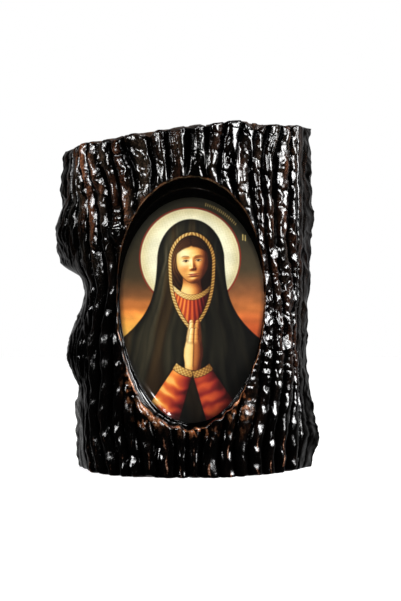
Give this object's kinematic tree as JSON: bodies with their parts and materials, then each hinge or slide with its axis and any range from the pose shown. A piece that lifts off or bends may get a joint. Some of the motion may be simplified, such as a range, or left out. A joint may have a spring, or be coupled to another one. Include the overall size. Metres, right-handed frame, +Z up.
{
  "type": "icon panel",
  "caption": "Upright half-log slab with dark, high-gloss bark and an oval dish in its round front that holds a printed picture of a praying figure.",
  "frame": {"origin": "middle of the bounding box, on the surface that the base stands on", "axes": "+Z up along the log, the picture faces -Y, +X to the right as the picture is looked at"},
  "size_m": [0.1552, 0.0576, 0.2007],
  "materials": {
    "bark": "bark under a thick, clear high-gloss varnish",
    "print": "colour print under clear gloss varnish"
  },
  "bodies": {
    "root": {"log_slab": "bark", "icon_print": "print"}
  },
  "joints": []
}
